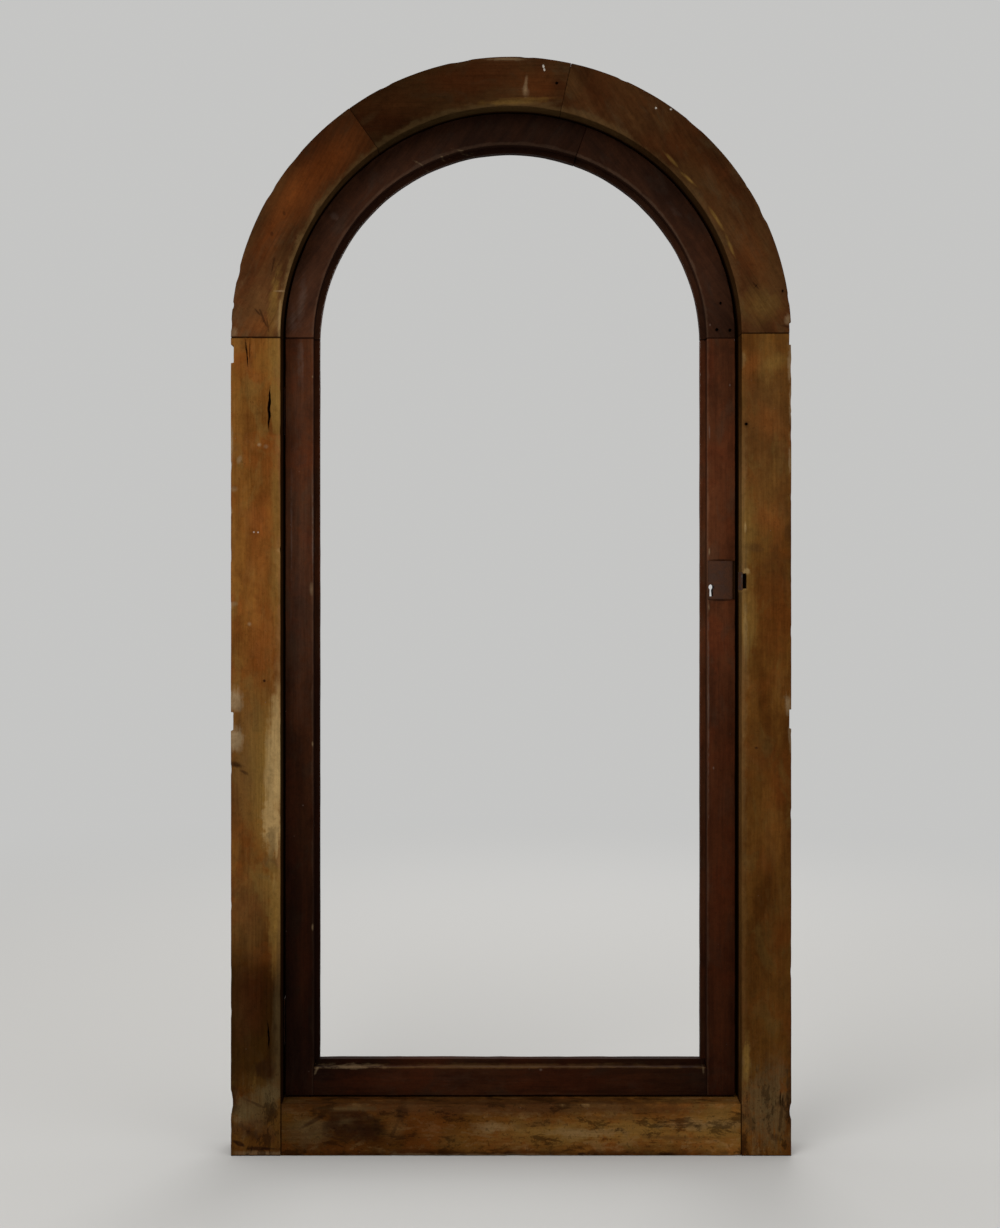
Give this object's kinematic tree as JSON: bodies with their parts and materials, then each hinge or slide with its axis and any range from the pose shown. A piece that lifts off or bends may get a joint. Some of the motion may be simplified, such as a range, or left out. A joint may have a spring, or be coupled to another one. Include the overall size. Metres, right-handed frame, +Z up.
{
  "type": "arched door surround",
  "caption": "Round-headed timber door surround with a sill and its hinged, glassless leaf, worn and patinated, standing on its own feet.",
  "frame": {"origin": "middle of the sill's underside, halfway through the frame's depth, on the surface it stands on", "axes": "+Z up; +X from the hinged jamb to the lock jamb; -Y towards the side on which the leaf is set back and its glass rebate and lock case show; the leaf opens towards +Y"},
  "size_m": [0.92, 0.0855, 1.803],
  "materials": {
    "frame_wood": "old oiled softwood, golden to orange brown, worn pale along its arrises and grey-brown at its feet",
    "leaf_wood": "dark red-brown stained wood with a worn satin varnish, pale where its arrises are rubbed",
    "iron": "dark brown rusted plate"
  },
  "bodies": {
    "surround": {"jamb_left": "frame_wood", "jamb_right": "frame_wood", "arch_left": "frame_wood", "arch_crown": "frame_wood", "arch_right": "frame_wood", "sill": "frame_wood", "lock_keep": "iron", "hinge_upper_fixed": "iron", "hinge_lower_fixed": "iron"},
    "leaf": {"leaf_hinge_stile": "leaf_wood", "leaf_lock_stile": "leaf_wood", "leaf_rail": "leaf_wood", "leaf_arch_left": "leaf_wood", "leaf_arch_right": "leaf_wood", "lock_case": "iron", "hinge_upper_moving": "iron", "hinge_lower_moving": "iron"}
  },
  "joints": [
    {"name": "leaf_hinge", "type": "hinge", "parent": "surround", "child": "leaf", "pos_m": [-0.37625, 0.043, 0.72], "axis": [0, 0, 1], "range_deg": [0, 170]}
  ]
}
